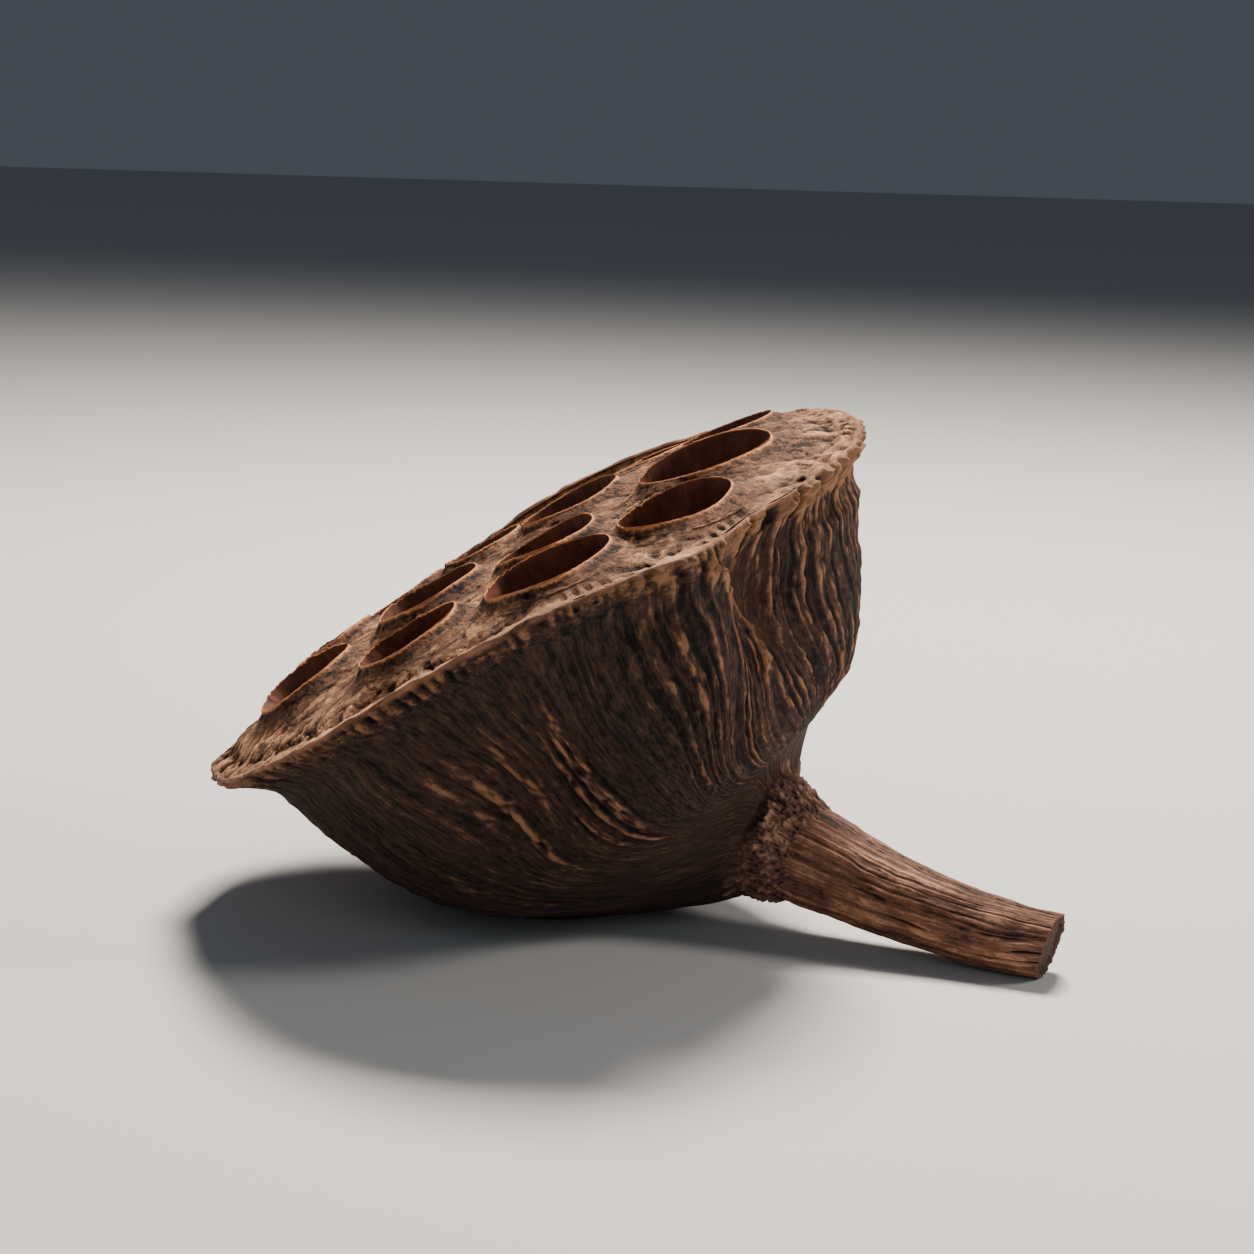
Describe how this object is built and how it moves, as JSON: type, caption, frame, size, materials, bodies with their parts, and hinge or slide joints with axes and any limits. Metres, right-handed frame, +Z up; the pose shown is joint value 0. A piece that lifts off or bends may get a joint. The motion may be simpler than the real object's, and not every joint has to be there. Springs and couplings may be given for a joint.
{
  "type": "dried lotus pod",
  "caption": "Dried lotus seed pod lying on its side: a ribbed, funnel-shaped husk with a low domed top full of open, empty seed chambers, and a short cut stalk",
  "frame": {"origin": "centre of the bounding box at its lowest level, where the pod lies on the ground", "axes": "+Z up off the ground in the pose the pod rests in, +X along the longest extent from the low edge of the top to the cut end of the stalk, +Y away from the viewer of the picture"},
  "size_m": [0.0849, 0.0663, 0.0514],
  "materials": {
    "pod_husk": "dry matt fibrous husk, grey-brown with paler tan ridge crests and rust-brown mouths",
    "stalk_bark": "dry red-brown stalk skin with lengthways ribs and dark cracks, slight sheen on the ribs"
  },
  "bodies": {
    "root": {"receptacle": "pod_husk", "stem": "stalk_bark"}
  },
  "joints": []
}
